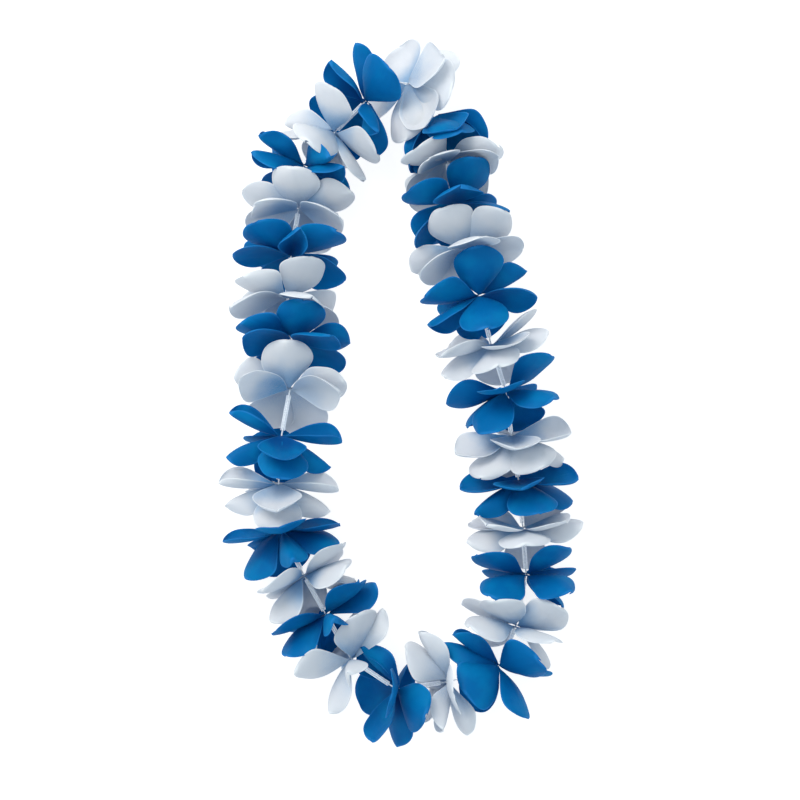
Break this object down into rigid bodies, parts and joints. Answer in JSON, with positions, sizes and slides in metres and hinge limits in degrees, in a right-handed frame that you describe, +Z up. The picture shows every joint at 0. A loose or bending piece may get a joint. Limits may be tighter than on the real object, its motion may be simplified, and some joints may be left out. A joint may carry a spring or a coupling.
{
  "type": "artificial flower lei",
  "caption": "Party lei of blue and white fabric flowers in turn, strung on a thin thread with clear spacer tubes between them, laid flat as a long loop.",
  "frame": {"origin": "under the middle of the lei's box, on the surface that it lies on", "axes": "+Z up off the surface, +Y along the loop towards the knot, +X across the loop"},
  "size_m": [0.2522, 0.4956, 0.0693],
  "materials": {
    "blue_fabric": "satin",
    "white_fabric": "satin",
    "clear_tube": "gloss",
    "thread": "matte"
  },
  "bodies": {
    "root": {"bloom_01_blue": "blue_fabric", "bloom_02_white": "white_fabric", "bloom_03_blue": "blue_fabric", "bloom_04_white": "white_fabric", "bloom_05_blue": "blue_fabric", "bloom_06_white": "white_fabric", "bloom_07_blue": "blue_fabric", "bloom_08_white": "white_fabric", "bloom_09_blue": "blue_fabric", "bloom_10_white": "white_fabric", "bloom_11_blue": "blue_fabric", "bloom_12_white": "white_fabric", "bloom_13_blue": "blue_fabric", "bloom_14_white": "white_fabric", "bloom_15_blue": "blue_fabric", "bloom_16_white": "white_fabric", "bloom_17_blue": "blue_fabric", "bloom_18_white": "white_fabric", "bloom_19_blue": "blue_fabric", "bloom_20_white": "white_fabric", "bloom_21_blue": "blue_fabric", "bloom_22_white": "white_fabric", "bloom_23_blue": "blue_fabric", "bloom_24_white": "white_fabric", "bloom_25_blue": "blue_fabric", "bloom_26_white": "white_fabric", "bloom_27_blue": "blue_fabric", "bloom_28_white": "white_fabric", "bloom_29_blue": "blue_fabric", "bloom_30_white": "white_fabric", "spacer_01": "clear_tube", "spacer_02": "clear_tube", "spacer_03": "clear_tube", "spacer_04": "clear_tube", "spacer_05": "clear_tube", "spacer_06": "clear_tube", "spacer_07": "clear_tube", "spacer_08": "clear_tube", "spacer_09": "clear_tube", "spacer_10": "clear_tube", "spacer_11": "clear_tube", "spacer_12": "clear_tube", "spacer_13": "clear_tube", "spacer_14": "clear_tube", "spacer_15": "clear_tube", "spacer_16": "clear_tube", "spacer_17": "clear_tube", "spacer_18": "clear_tube", "spacer_19": "clear_tube", "spacer_20": "clear_tube", "spacer_21": "clear_tube", "spacer_22": "clear_tube", "spacer_23": "clear_tube", "spacer_24": "clear_tube", "spacer_25": "clear_tube", "spacer_26": "clear_tube", "spacer_27": "clear_tube", "spacer_28": "clear_tube", "spacer_29": "clear_tube", "thread": "thread"}
  },
  "joints": []
}
